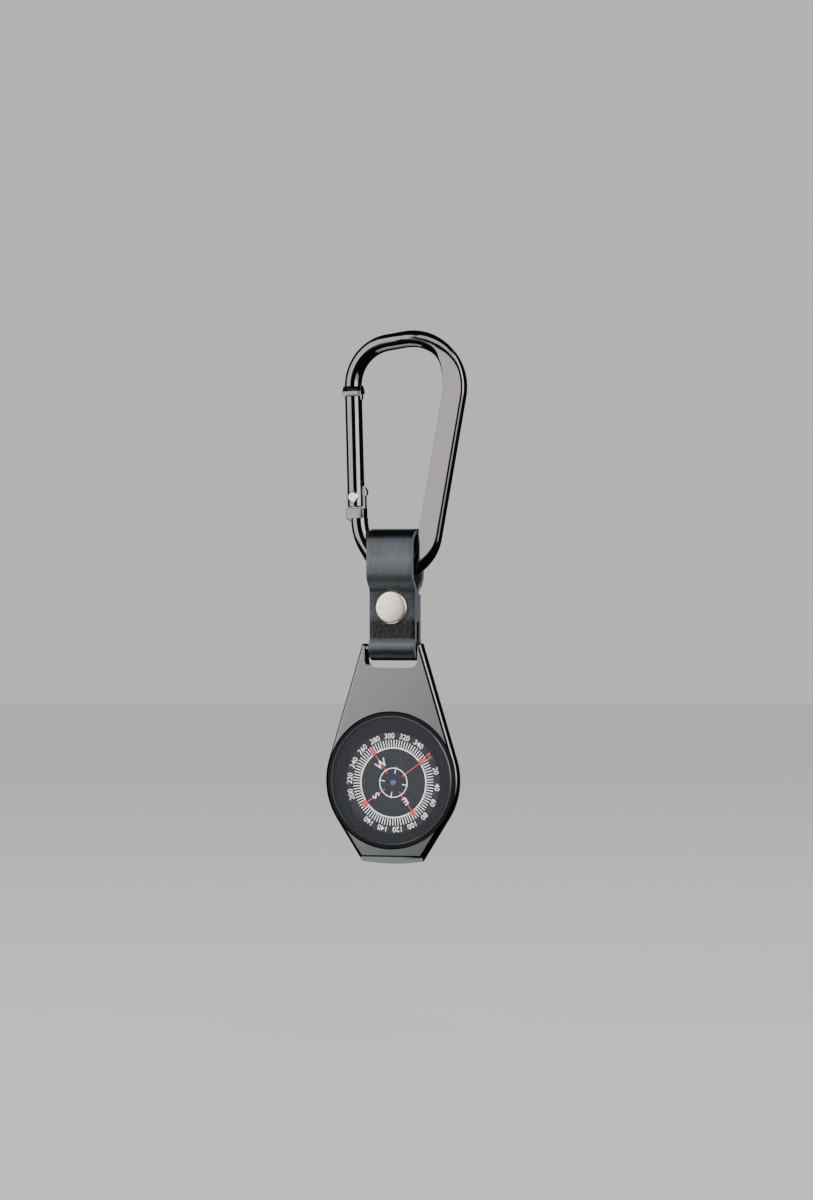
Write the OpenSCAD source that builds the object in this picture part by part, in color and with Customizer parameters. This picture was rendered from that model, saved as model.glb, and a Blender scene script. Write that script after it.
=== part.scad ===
// Pocket compass on a riveted leather loop and a small carabiner.
// The origin is where the carabiner hangs, at the inside of its top bend.
// Front is -Y, the gate is on the left at -X, and everything hangs down along -Z.

/* [Carabiner] */
// Diameter of the round rod
rod_d = 4.2; // [3.6:0.1:4.6]
// Outside height of the carabiner
carabiner_h = 61.2; // [59:0.2:66]
// Centre-line radius of the wide top bend
top_bend_r = 11.9; // [11:0.1:13]
// Centre-line radius of the shoulder bend over the gate
shoulder_bend_r = 10.7; // [9.6:0.1:11.2]
// Centre-line radius of the bend where the spine ends
heel_bend_r = 9.9; // [9.4:0.1:10]
// Centre-line radius of the narrow bottom bend
toe_bend_r = 5.9; // [5.4:0.1:6]
// Centre-line radius of the short arm under the gate
arm_bend_r = 13.4; // [12.8:0.1:13.8]
// How far the gate's top lies left of the hanging point
nose_x = 15.4; // [15:0.1:16]
// How far the nose lies below the hanging point
nose_z = 9.3; // [8.4:0.1:9.6]
// How far the foot of the hinge block lies left of the hanging point
block_x = 14.5; // [14.2:0.1:14.8]
// How far the foot of the hinge block lies above the carabiner's lowest point
block_rise = 15.6; // [15:0.1:16.4]
// How far the short arm's centre line lies left of the hanging point
arm_x = 13.75; // [13.6:0.05:14]
// How far the bottom bend's centre lies left of the hanging point
toe_x = 4.4; // [4.2:0.1:4.8]
// How far the heel bend's centre lies above the bottom bend's centre
heel_rise = 4.25; // [4.2:0.05:4.6]
// Width of the flattened spine
spine_w = 5.6; // [5:0.1:6]
// Thickness of the flattened spine
spine_t = 2.9; // [2.4:0.1:3.4]

/* [Gate] */
// Width of the flattened rod ends that face the gate
end_w = 5; // [4.6:0.1:5.4]
// Thickness of the flattened rod ends
end_t = 3.2; // [2.8:0.1:3.6]
// Length of the flattened hinge block
block_l = 2.3; // [2:0.1:2.6]
// Length of the flattened nose
nose_l = 2.1; // [1.8:0.1:2.6]
// Thickness of the tongues that enter the gate's slots
tongue_t = 1.3; // [1:0.1:1.6]
// Height of the rivet above the hinge block's foot
pivot_h = 5.1; // [5:0.1:5.4]
// Diameter of the gate's rivet
gate_pin_d = 1.2; // [1:0.1:1.4]
// Diameter of the rivet's heads
gate_head_d = 2.6; // [2.2:0.1:3]
// Diameter of the bore for the gate's spring
spring_bore_d = 2.4; // [2.2:0.1:2.6]
// Diameter of the spring's wire
wire_d = 0.35; // [0.3:0.05:0.4]
// Number of curls in the gate's spring
spring_curls = 9; // [6:1:11]
// Length of the gate's spring
spring_l = 8; // [7:0.5:10]
// Length of the plunger
plunger_l = 3; // [2.5:0.1:3.5]

/* [Leather strap] */
// Room between the strap's edges and the carabiner's arms
strap_room = 0.45; // [0.35:0.05:1]
// Thickness of the leather
strap_t = 1.3; // [1:0.1:1.5]
// Distance between the middles of the strap's two folds
strap_l = 25; // [24:0.2:30]
// Height of the strap's upper fold above the carabiner's lowest point
fold_rise = 8.75; // [8.5:0.05:9]
// Play between the upper fold and the rod
rod_play = 0.8; // [0.7:0.05:1]
// Play between the lower fold and the body's bar
bar_play = 0.4; // [0.3:0.05:0.6]
// Distance of the strap's rivet below its upper fold's middle
rivet_drop = 15; // [14.8:0.1:15.6]
// Diameter of the rivet's cap
cap_d = 8.1; // [7.6:0.1:8.6]
// Height of the rivet's cap
cap_h = 1.2; // [1:0.1:1.5]
// Diameter of the rivet's back head
back_head_d = 6; // [5:0.1:6.2]
// Diameter of the rivet's post
post_d = 2.4; // [2:0.1:3]

/* [Compass body] */
// Height of the body
body_h = 53.6; // [52:0.2:56]
// Width of the thin arm on each side of the slot
slot_arm_w = 0.85; // [0.7:0.05:1.2]
// Width of the body's bottom edge
bottom_w = 15.6; // [15:0.1:17]
// Thickness of the body's plate
plate_t = 3.2; // [2.8:0.1:3.8]
// Distance of the dial ring's centre above the body's bottom
ring_rise = 20.3; // [19.6:0.1:21]
// Room between the strap's edges and the slot's sides
slot_room = 0.85; // [0.8:0.05:1.2]
// Distance of the slot's lower edge below the body's top
slot_drop = 5.9; // [5.6:0.1:7]
// Radius of the slot's lower corners
slot_corner_r = 1.9; // [1.4:0.1:2.2]
// Diameter of the round bar that the strap hangs from
bar_d = 2.4; // [2:0.1:2.6]
// How far the body sits left of the strap's middle
body_shift = 0.5; // [0:0.1:0.6]
// Width of the chamfer round the front and back edges
edge_chamfer = 0.4; // [0.2:0.1:0.6]
// Height of the sloping facet along the bottom edge
facet_h = 1.7; // [1:0.1:2.4]
// Depth of the sloping facet along the bottom edge
facet_depth = 1.5; // [1:0.1:2]
// How far the bottom edge bows outwards in its middle
bottom_bow = 0.6; // [0.3:0.1:0.9]
// Thickness of the housing's wall
housing_wall = 0.85; // [0.8:0.05:1.2]
// Depth of the body from its front face to the housing's back
body_depth = 6.8; // [6.6:0.1:8]
// Thickness of the housing's floor
housing_floor = 0.8; // [0.6:0.1:1]

/* [Capsule] */
// Diameter of the recess that takes the capsule's flange
recess_d = 33.6; // [33.4:0.1:33.8]
// Width of the thin metal lip round the recess
lip_w = 0.45; // [0.35:0.05:0.8]
// Depth of the recess
recess_depth = 2; // [1.8:0.1:2.2]
// Width of the black rim round the clear window
rim_w = 1.1; // [0.9:0.05:1.3]
// Thickness of the clear window
window_t = 1; // [0.8:0.1:1.1]
// How far the window stands proud of the body's face
window_proud = 0.15; // [0.1:0.05:0.4]
// Width of the flange that the capsule's cup hangs from
flange_w = 2.85; // [2.8:0.05:3]
// Thickness of the cup's wall
cup_wall = 0.65; // [0.5:0.05:0.7]
// Thickness of the cup's floor
cup_floor = 0.6; // [0.5:0.05:0.8]
// Thickness of the adhesive pad under the cup
pad_t = 0.2; // [0.1:0.05:0.3]
// Thickness of the seal under the window
seal_t = 0.3; // [0.2:0.05:0.4]
// Width of the seal under the window
seal_w = 0.8; // [0.6:0.05:0.9]
// Diameter of the fill plug
plug_d = 1.6; // [1.2:0.1:2]

/* [Compass card] */
// Room round the card inside the cup
card_room = 0.45; // [0.3:0.05:0.8]
// Thickness of the card
card_t = 0.3; // [0.25:0.05:0.4]
// Gap between the window and the face of the card
card_gap = 0.85; // [0.75:0.05:1]
// How far the card's pivot lies below the window's centre
card_drop = 0.6; // [0:0.1:0.7]
// Diameter of the card's hub
hub_d = 3.6; // [3:0.1:4.4]
// Length of the card's hub
hub_l = 1.2; // [1:0.1:1.4]
// Length of the bar magnet
magnet_l = 16; // [12:0.5:20]
// Width of the bar magnet
magnet_w = 5; // [5:0.1:6]
// Thickness of the bar magnet
magnet_t = 1; // [0.8:0.1:1.1]
// Diameter of the jewel
jewel_d = 1.5; // [1.3:0.1:1.8]
// Diameter of the pivot pin
pivot_pin_d = 0.7; // [0.5:0.05:0.8]

/* [Hidden] */

$fn = 64;
// Overrun of every cut past the face that it opens
over = 0.5;
// Running clearance of a pin in its bore, on the radius
run_gap = 0.05;
// Clearance between the gate and what it closes against
gate_gap = 0.15;
// Clearance between the gate's foot and the hinge block
foot_gap = 0.3;
// Clearance of a tongue in its slot, each side
slot_gap = 0.1;
// Gap between the strap's layers where they are riveted
layer_gap = 0.05;
// Tiny gap of a pressed or glued seat, on the radius
seat_gap = 0.05;
// How far the bar lies below the body's top edge
bar_sink = 0.1;
// How far one length of the rod runs into the next, and how much thinner it is there
weld = 0.3;
weld_step = 0.03;

// Carabiner: centre line as bends joined by straight tangents, listed clockwise
rod_r = rod_d / 2;
toe_z = rod_d - carabiner_h + toe_bend_r + rod_r;
block_z = rod_d - carabiner_h + block_rise;
bends = [
    [shoulder_bend_r - nose_x, -nose_z, shoulder_bend_r],
    [0, rod_r - top_bend_r, top_bend_r],
    [-toe_x, toe_z + heel_rise, heel_bend_r],
    [-toe_x, toe_z, toe_bend_r],
    [arm_bend_r - arm_x, block_z, arm_bend_r]];
function bend_at(i) = [bends[i][0], bends[i][1]];
function reach(i, j) = norm(bend_at(j) - bend_at(i));
function heading(i, j) = let (d = bend_at(j) - bend_at(i)) atan2(d[1], d[0]);
// Direction of the outward normal of the straight between bends i and j
function normal_between(i, j) = heading(i, j) + acos((bends[i][2] - bends[j][2]) / reach(i, j));
function on_bend(i, a, r) = bend_at(i) + r * [cos(a), sin(a)];
normals = [180, normal_between(0, 1), normal_between(1, 2), normal_between(2, 3),
    normal_between(3, 4), -180];
spine_a = normals[2];
spine_inner = spine_w - rod_r;
function turn_to_below(a, top) = a > top ? turn_to_below(a - 360, top) : a;

// Gate line, from the hinge block's foot up to the nose
gate_run = [block_x - nose_x, -nose_z - block_z];
gate_line_l = norm(gate_run);
gate_lean = atan2(gate_run[0], gate_run[1]);
gate_foot = block_l + foot_gap;
gate_top = gate_line_l - nose_l - gate_gap;
gate_foot_r = pivot_h - block_l - gate_gap / 2;
nose_tongue_l = tongue_t;
hinge_tongue_top = 2.4 * gate_pin_d;
slot_t = tongue_t + 2 * slot_gap;
bore_foot = pivot_h + hinge_tongue_top - slot_gap;
plunger_foot = pivot_h + hinge_tongue_top + run_gap;
spring_foot = plunger_foot + plunger_l;
bore_top = spring_foot + spring_l;

// Strap: middle line of the leather in side view
layer_pitch = strap_t + layer_gap;
upper_fold_r = rod_r + rod_play + strap_t / 2;
fold_z = rod_d - carabiner_h + fold_rise;
toe_rod_z = rod_d - carabiner_h + rod_r;
bar_z = fold_z - strap_l;
lower_fold_r = bar_d / 2 + bar_play + strap_t / 2;
rivet_z = fold_z - rivet_drop;
// The strap lies midway between the carabiner's arms, at the height of its fold's inside
fold_inside_z = fold_z + upper_fold_r - strap_t / 2;
left_arm = bends[4][0] - sqrt(pow(arm_bend_r - rod_r, 2) - pow(block_z - fold_inside_z, 2));
right_arm = bends[2][0] + (heel_bend_r - spine_inner
    - (fold_inside_z - bends[2][1]) * sin(spine_a)) / cos(spine_a);
strap_w = right_arm - left_arm - 2 * strap_room;
strap_x = -(left_arm + right_arm) / 2;
pinch_r = 1.25 * strap_t;
front_pinch_a = acos((layer_pitch + pinch_r) / (upper_fold_r + pinch_r));
back_pinch_a = acos(pinch_r / (upper_fold_r + pinch_r));
lower_pinch_a = acos((layer_pitch + pinch_r) / (lower_fold_r + pinch_r));
inner_end_z = rivet_z - back_head_d / 2 - over;
outer_end_z = rivet_z + back_head_d / 2 + over / 2;
strap_face = layer_pitch + strap_t / 2;

// Body and capsule, from the front face backwards
slot_w = strap_w + 2 * slot_room;
top_w = slot_w + 2 * slot_arm_w;
window_d = recess_d - 2 * rim_w;
cup_d = recess_d - 2 * flange_w;
housing_d = cup_d + 2 * housing_wall;
body_x = -strap_x - body_shift;
body_top = bar_z + bar_d / 2 + bar_sink;
body_bottom = body_top - body_h;
ring_z = body_bottom + ring_rise;
front_y = -plate_t / 2;
back_y = plate_t / 2;
housing_y = front_y + body_depth;
ledge_y = front_y + recess_depth;
outline_r = recess_d / 2 + lip_w;
flange_r = recess_d / 2 - seat_gap;
window_front = front_y - window_proud;
window_back = window_front + window_t;
window_seat = window_back + seal_t;
cup_back = housing_y - housing_floor - pad_t;
cup_inner_r = cup_d / 2 - cup_wall;
card_z = ring_z - card_drop;
card_d = 2 * (cup_inner_r - card_room - card_drop);
card_front = window_back + card_gap;
card_back = card_front + card_t;
hub_back = card_back + hub_l;
// Direction of north on the card, clockwise from up
north_a = 55.5;

// Draws a flat shape of the XZ plane from y0 back to y1
module slab(y0, y1) {
    translate([0, y1, 0])
        rotate([90, 0, 0])
            linear_extrude(y1 - y0)
                children();
}

// A round bar along Y
module disc(r, y0, y1) {
    translate([0, y1, 0])
        rotate([90, 0, 0])
            cylinder(r = r, h = y1 - y0);
}

// A ring or disc along Y from a half outline of [radius, y] points
module turned(points) {
    rotate([90, 0, 0])
        rotate_extrude()
            polygon([for (p = points) [p[0], -p[1]]]);
}

module on_gate_line(h = 0) {
    translate([-block_x, 0, block_z])
        rotate([0, gate_lean, 0])
            translate([0, 0, h])
                children();
}

module at_ring() {
    translate([body_x, 0, ring_z])
        children();
}

module at_card() {
    translate([body_x, 0, card_z])
        children();
}

// Outline of a rod end pressed flat: a bar with round sides
module pressed_end(l) {
    linear_extrude(l)
        for (side = [-1, 1]) {
            translate([side * (end_w - end_t) / 2, 0])
                circle(d = end_t);
            translate([-(end_w - end_t) / 2, -end_t / 2])
                square([end_w - end_t, end_t]);
        }
}

module rod_bend(i) {
    first = turn_to_below(normals[i], 180);
    last = turn_to_below(normals[i + 1], first);
    translate([bends[i][0], 0, bends[i][1]])
        rotate([90, 0, 0])
            rotate([0, 0, last])
                rotate_extrude(angle = first - last)
                    translate([bends[i][2], 0])
                        circle(r = rod_r);
}

module rod_straight(i) {
    a = normals[i + 1];
    from = on_bend(i, a, bends[i][2]);
    to = on_bend(i + 1, a, bends[i + 1][2]);
    translate([from[0], 0, from[1]])
        rotate([0, 90 - atan2(to[1] - from[1], to[0] - from[0]), 0])
            translate([0, 0, -weld])
                cylinder(r = rod_r - weld_step, h = norm(to - from) + 2 * weld);
}

// The flattened spine: how far it runs out along the bends, and how its inner edge fades
spine_start_a = spine_a + 45;
spine_end_a = spine_a - 45;
fade_a = [34, 30, 6];

// Zone of the spine that the press flattens, run out over the bends at both ends
module spine_zone(grow) {
    outer = rod_d + grow;
    polygon([
        on_bend(1, spine_start_a + grow / rod_r * 4, top_bend_r + outer),
        on_bend(1, spine_a, top_bend_r + 2 * outer),
        on_bend(2, spine_a, heel_bend_r + 2 * outer),
        on_bend(2, spine_end_a - grow / rod_r * 4, heel_bend_r + outer),
        on_bend(2, spine_end_a - grow / rod_r * 4, heel_bend_r - outer),
        on_bend(2, spine_a, heel_bend_r - 2 * rod_d),
        on_bend(1, spine_a, top_bend_r - 2 * rod_d),
        on_bend(1, spine_start_a + grow / rod_r * 4, top_bend_r - outer)]);
}

module spine_press() {
    press = rod_r - spine_t / 2;
    for (side = [-1, 1])
        scale([1, side, 1])
            hull() {
                slab(spine_t / 2, spine_t / 2 + run_gap)
                    spine_zone(0);
                slab(rod_r + press, rod_r + press + run_gap)
                    spine_zone(2 * press);
            }
}

// The metal that the press drives out to both sides along the spine
module spine_web() {
    edge = spine_t / 10;
    outside = rod_r + weld_step;
    for (layer = [[spine_t / 2, edge], [spine_t / 2 - edge, 0]])
        slab(-layer[0], layer[0])
            polygon([
                on_bend(1, spine_a + fade_a[0], top_bend_r),
                on_bend(1, spine_a + fade_a[1], top_bend_r - rod_r / 2 + layer[1] / 2 - rod_r / 4),
                on_bend(1, spine_a + fade_a[2], top_bend_r - spine_inner + layer[1]),
                on_bend(2, spine_a - fade_a[2], heel_bend_r - spine_inner + layer[1]),
                on_bend(2, spine_a - fade_a[1], heel_bend_r - rod_r / 2 + layer[1] / 2 - rod_r / 4),
                on_bend(2, spine_a - fade_a[0], heel_bend_r),
                on_bend(2, spine_a - 2 * fade_a[2], heel_bend_r + rod_r / 2),
                on_bend(2, spine_a, heel_bend_r + outside - layer[1]),
                on_bend(1, spine_a, top_bend_r + outside - layer[1]),
                on_bend(1, spine_a + 2 * fade_a[2], top_bend_r + rod_r / 2)]);
}

// Flat tongue that the gate hinges on, in the gate's slot
module hinge_tongue() {
    top = hinge_tongue_top;
    wide = end_w / 2;
    slab(-tongue_t / 2, tongue_t / 2)
        polygon([
            [-rod_r, -pivot_h + block_l / 2],
            [-rod_r, top - rod_r / 3],
            [-rod_r + rod_r / 3, top],
            [rod_r - rod_r / 6, top],
            [wide + wide / 5, top / 2.6],
            [wide + wide / 5, gate_pin_d / 3],
            [wide, gate_pin_d / 3],
            [wide, -pivot_h + block_l / 2]]);
}

module carabiner_frame() {
    color("#45464a") {
        difference() {
            union() {
                for (i = [0:4])
                    rod_bend(i);
                for (i = [0:3])
                    rod_straight(i);
                spine_web();
            }
            spine_press();
        }
        on_gate_line(-weld)
            pressed_end(block_l + weld);
        on_gate_line(gate_line_l - nose_l)
            pressed_end(nose_l + weld);
        on_gate_line(pivot_h)
            difference() {
                hinge_tongue();
                disc(gate_pin_d / 2 + run_gap, -rod_r, rod_r);
            }
        on_gate_line(gate_line_l - nose_l - nose_tongue_l)
            translate([-end_w / 2 + slot_gap, -tongue_t / 2, 0])
                cube([end_w - 2 * slot_gap, tongue_t, nose_l / 2 + nose_tongue_l]);
    }
}

module gate() {
    gate_l = gate_top - gate_foot;
    soft = rod_r / 8;
    seat_y = rod_r - gate_pin_d / 5;
    color("#55565a")
        on_gate_line()
            difference() {
                translate([0, 0, gate_foot])
                    rotate_extrude()
                        polygon([[0, 0], [rod_r - soft, 0], [rod_r, soft], [rod_r, gate_l - soft],
                            [rod_r - soft, gate_l], [0, gate_l]]);
                translate([-rod_d, -slot_t / 2, gate_foot - over])
                    cube([2 * rod_d, slot_t, bore_foot + foot_gap - gate_foot + over + rod_r / 3]);
                translate([-rod_d, -slot_t / 2, gate_top - nose_tongue_l - slot_gap])
                    cube([2 * rod_d, slot_t, nose_tongue_l + slot_gap + over]);
                translate([0, 0, bore_foot])
                    cylinder(d = spring_bore_d, h = bore_top - bore_foot);
                translate([0, 0, pivot_h]) {
                    disc(gate_pin_d / 2, -rod_d, rod_d);
                    for (side = [-1, 1])
                        scale([1, side, 1])
                            disc(gate_head_d / 2 + seat_gap, seat_y, rod_d);
                    difference() {
                        translate([0, -rod_d, -rod_d])
                            cube([rod_d, 2 * rod_d, rod_d]);
                        disc(gate_foot_r, -2 * rod_d, 2 * rod_d);
                    }
                }
            }
}

module gate_rivet() {
    seat_y = rod_r - gate_pin_d / 5;
    head_y = seat_y + gate_pin_d / 2;
    head_r = gate_head_d / 2;
    dome = gate_pin_d / 5;
    color("#d5d6d8")
        on_gate_line(pivot_h)
            turned([[0, -head_y], [head_r - dome, -head_y], [head_r, -head_y + dome],
                [head_r, -seat_y], [gate_pin_d / 2, -seat_y], [gate_pin_d / 2, seat_y],
                [head_r, seat_y], [head_r, head_y - dome], [head_r - dome, head_y], [0, head_y]]);
}

// The gate's spring: one wire wound round the gate line, with each ring square to its run
rings_a_curl = 8;
wire_sides = 6;
coil_r = spring_bore_d / 2 - seat_gap - wire_d / 2;
coil_rise = spring_l - wire_d - 2 * seat_gap;
coil_rings = spring_curls * rings_a_curl;
function coil_point(k) = let (a = 360 * k / rings_a_curl)
    [coil_r * cos(a), coil_r * sin(a), seat_gap + wire_d / 2 + coil_rise * k / coil_rings];
function ring_on_coil(k) = let (
        a = 360 * k / rings_a_curl,
        out = [cos(a), sin(a), 0],
        slope = atan2(coil_rise / spring_curls, 2 * PI * coil_r),
        up = [sin(a) * sin(slope), -cos(a) * sin(slope), cos(slope)])
    [for (s = [0:wire_sides - 1]) let (b = 360 * s / wire_sides)
        coil_point(k) + wire_d / 2 * (cos(b) * out + sin(b) * up)];
echo(least_gap_between_curls = coil_rise / spring_curls - wire_d);

module gate_spring() {
    points = [for (k = [0:coil_rings]) each ring_on_coil(k)];
    sides = [for (k = [0:coil_rings - 1], s = [0:wire_sides - 1])
        let (a = k * wire_sides + s, b = k * wire_sides + (s + 1) % wire_sides)
        each [[a, a + wire_sides, b], [b, a + wire_sides, b + wire_sides]]];
    ends = [for (s = [1:wire_sides - 2]) each [[0, s, s + 1],
        let (e = coil_rings * wire_sides) [e, e + s + 1, e + s]]];
    color("#b9bbbe")
        on_gate_line(spring_foot)
            polyhedron(points, concat(sides, ends));
}

module gate_plunger() {
    r = spring_bore_d / 2 - run_gap;
    soft = r / 4;
    color("#b9bbbe")
        on_gate_line(plunger_foot)
            rotate_extrude()
                polygon([[0, 0], [r - soft, 0], [r, soft], [r, plunger_l], [0, plunger_l]]);
}

// Points of an arc in side view, from angle a to angle b about a centre
function arc(y, z, r, a, b) = let (n = ceil(abs(b - a) / 10))
    [for (k = [0:n]) let (t = a + (b - a) * k / n) [y + r * cos(t), z + r * sin(t)]];

// Middle line of the leather, from its inner end round both folds to its outer end
strap_line = concat(
    [[0, inner_end_z]],
    arc(pinch_r, toe_rod_z - (upper_fold_r + pinch_r) * sin(back_pinch_a), pinch_r,
        180, 180 - back_pinch_a),
    arc(0, toe_rod_z, upper_fold_r, -back_pinch_a, 0),
    arc(0, fold_z, upper_fold_r, 0, 180),
    arc(0, toe_rod_z, upper_fold_r, 180, 180 + front_pinch_a),
    arc(-layer_pitch - pinch_r, toe_rod_z - (upper_fold_r + pinch_r) * sin(front_pinch_a), pinch_r,
        front_pinch_a, 0),
    arc(-layer_pitch - pinch_r, bar_z + (lower_fold_r + pinch_r) * sin(lower_pinch_a), pinch_r,
        0, -lower_pinch_a),
    arc(0, bar_z, lower_fold_r, 180 - lower_pinch_a, 360 + lower_pinch_a),
    arc(layer_pitch + pinch_r, bar_z + (lower_fold_r + pinch_r) * sin(lower_pinch_a), pinch_r,
        180 + lower_pinch_a, 180),
    [[layer_pitch, outer_end_z]]);
strap_path = [for (k = [0:len(strap_line) - 1])
    if (k == 0 || norm(strap_line[k] - strap_line[k - 1]) > layer_gap) strap_line[k]];
function strap_run(k) = let (
        last = len(strap_path) - 1,
        d = strap_path[min(k + 1, last)] - strap_path[max(k - 1, 0)])
    d / norm(d);
function strap_side(k, off) = let (d = strap_run(k)) strap_path[k] + off * [-d[1], d[0]];

module leather_strap() {
    last = len(strap_path) - 1;
    color("#26282c")
        translate([-strap_x, 0, 0])
            difference() {
                translate([-strap_w / 2, 0, 0])
                    rotate([90, 0, 90])
                        linear_extrude(strap_w)
                            polygon(concat(
                                [for (k = [0:last]) strap_side(k, strap_t / 2)],
                                [for (k = [last:-1:0]) strap_side(k, -strap_t / 2)]));
                translate([0, 0, rivet_z])
                    disc(post_d / 2, -2 * strap_face, 2 * strap_face);
            }
}

module rivet_cap() {
    r = cap_d / 2;
    soft = 0.4 * cap_h;
    crown = 0.1 * cap_h;
    face_y = -strap_face - cap_h;
    face = [for (t = [0:0.2:1]) [(r - soft) * t, face_y + crown * t * t]];
    side = [for (a = [15:15:90])
        [r - soft + soft * sin(a), face_y + crown + soft * (1 - cos(a))]];
    color("#d8cfc6")
        translate([-strap_x, 0, rivet_z])
            turned(concat([[0, -strap_face - cap_h / 2]], face, side,
                [[r, -strap_face], [post_d / 2, -strap_face],
                [post_d / 2, -strap_face - cap_h / 2]]));
}

module rivet_post() {
    r = back_head_d / 2;
    head = cap_h / 2;
    color("#c9c1b8")
        translate([-strap_x, 0, rivet_z])
            turned([[0, -strap_face - cap_h / 2], [post_d / 2, -strap_face - cap_h / 2],
                [post_d / 2, strap_face], [r, strap_face], [r, strap_face + head / 2],
                [r - head / 2, strap_face + head], [0, strap_face + head]]);
}

// Outline of the plate: a circle round the dial with straight sides to a narrow top and bottom
bow_r = (bottom_w * bottom_w / 4 + bottom_bow * bottom_bow) / (2 * bottom_bow);
function tangent_from(x, z, r) = let (a = atan2(z, x) + acos(r / norm([x, z])) * (z > 0 ? -1 : 1))
    [r * cos(a), r * sin(a)];

module plate_sides(inset) {
    r = outline_r - inset - weld_step;
    up = body_top - ring_z - inset;
    down = ring_rise;
    top_x = top_w / 2 - inset;
    low_x = bottom_w / 2 - inset;
    high = tangent_from(top_x, up, r);
    low = tangent_from(low_x, -down, r);
    polygon([[-top_x, up], [top_x, up], high, low, [low_x, -down], [-low_x, -down],
        [-low[0], low[1]], [-high[0], high[1]]]);
}

// A round plate as thick as the body, chamfered front and back
module round_plate(r) {
    turned([[0, front_y], [r - edge_chamfer, front_y], [r, front_y + edge_chamfer],
        [r, back_y - edge_chamfer], [r - edge_chamfer, back_y], [0, back_y]]);
}

module plate() {
    skin = edge_chamfer / 10;
    intersection() {
        union() {
            round_plate(outline_r, $fn = 128);
            hull() {
                slab(front_y, front_y + skin)
                    plate_sides(edge_chamfer);
                slab(front_y + edge_chamfer, back_y - edge_chamfer)
                    plate_sides(0);
                slab(back_y - skin, back_y)
                    plate_sides(edge_chamfer);
            }
        }
        translate([0, 0, bow_r - ring_rise])
            round_plate(bow_r, $fn = 256);
    }
}

module slot_outline() {
    low = body_top - ring_z - slot_drop;
    high = body_top - ring_z - bar_d;
    half = slot_w / 2;
    union() {
        translate([-half, low + slot_corner_r])
            square([slot_w, high - low - slot_corner_r]);
        translate([-half + slot_corner_r, low])
            square([slot_w - 2 * slot_corner_r, slot_corner_r]);
        for (side = [-1, 1])
            translate([side * (half - slot_corner_r), low + slot_corner_r])
                circle(r = slot_corner_r);
    }
}

module compass_body() {
    boss_r = housing_d / 2;
    half = slot_w / 2;
    color("#77787a")
        at_ring() {
            difference() {
                union() {
                    plate();
                    turned([[0, 0], [boss_r, 0], [boss_r, housing_y - edge_chamfer],
                        [boss_r - edge_chamfer, housing_y], [0, housing_y]]);
                }
                disc(recess_d / 2, front_y - over, ledge_y);
                disc(cup_d / 2 + seat_gap, front_y - over, housing_y - housing_floor);
                slab(front_y - over, back_y + over)
                    slot_outline();
                translate([-half, -plate_t, body_top - ring_z - bar_d - over])
                    cube([slot_w, 2 * plate_t, bar_d + 2 * over]);
                translate([0, front_y, -ring_rise + facet_h])
                    rotate([atan2(facet_depth, facet_h), 0, 0])
                        translate([-bottom_w, -plate_t, -2 * facet_h])
                            cube([2 * bottom_w, plate_t, 2 * facet_h]);
            }
            translate([-half - top_w / 40, 0, bar_z - ring_z])
                rotate([0, 90, 0])
                    cylinder(d = bar_d, h = slot_w + top_w / 20);
        }
}

module capsule_cup() {
    rim_soft = lip_w / 2;
    rim_y = front_y + lip_w / 2;
    step_r = window_d / 2 + seat_gap;
    color("#17181a")
        difference() {
            at_ring()
                turned([
                    [0, cup_back - cup_floor], [cup_inner_r, cup_back - cup_floor],
                    [cup_inner_r, window_seat], [step_r, window_seat], [step_r, rim_y],
                    [flange_r - rim_soft, rim_y], [flange_r, rim_y + rim_soft],
                    [flange_r, ledge_y], [cup_d / 2, ledge_y], [cup_d / 2, cup_back],
                    [0, cup_back]]);
            at_card()
                disc(pivot_pin_d / 2, cup_back - 2 * cup_floor, cup_back - cup_floor / 4);
            at_ring()
                translate([0, 0, cup_d / 3])
                    disc(plug_d / 2, cup_back - 2 * cup_floor, cup_back + over);
        }
}

module capsule_window() {
    r = window_d / 2;
    bevel = window_t / 4;
    color("#c8d2d8", 0.4)
        at_ring()
            turned([[0, window_front], [r - bevel, window_front], [r, window_front + bevel],
                [r, window_back], [0, window_back]]);
}

module window_seal() {
    r = window_d / 2;
    color("#2a2a2a")
        at_ring()
            turned([[r - seal_w, window_back], [r, window_back], [r, window_seat],
                [r - seal_w, window_seat]]);
}

module capsule_pad() {
    color("#d8d8d0")
        at_ring()
            disc(cup_d / 2 - cup_wall, cup_back, cup_back + pad_t);
}

module fill_plug() {
    color("#303236")
        at_ring()
            translate([0, 0, cup_d / 3])
                disc(plug_d / 2, cup_back - cup_floor, cup_back);
}

// Jewel and pin meet where the pin's point stands in the jewel's cup
jewel_top = card_front - card_gap / 1.2;
jewel_cup = card_back;
pin_tip = jewel_cup + run_gap;

module pivot_pin() {
    r = pivot_pin_d / 2;
    color("#c9ccd0")
        at_card()
            turned([[0, pin_tip], [r, pin_tip + 2 * r], [r, cup_back - cup_floor / 4],
                [0, cup_back - cup_floor / 4]]);
}

module card_disc() {
    color("#1d1f22")
        at_card()
            difference() {
                disc(card_d / 2, card_front, card_back);
                disc(jewel_d / 2, card_front - over, card_back + over);
            }
}

module card_hub() {
    r = hub_d / 2;
    color("#3a3c40")
        at_card()
            difference() {
                disc(r, card_back, hub_back);
                disc(jewel_d / 2, card_back - over, hub_back + over);
            }
}

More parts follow.
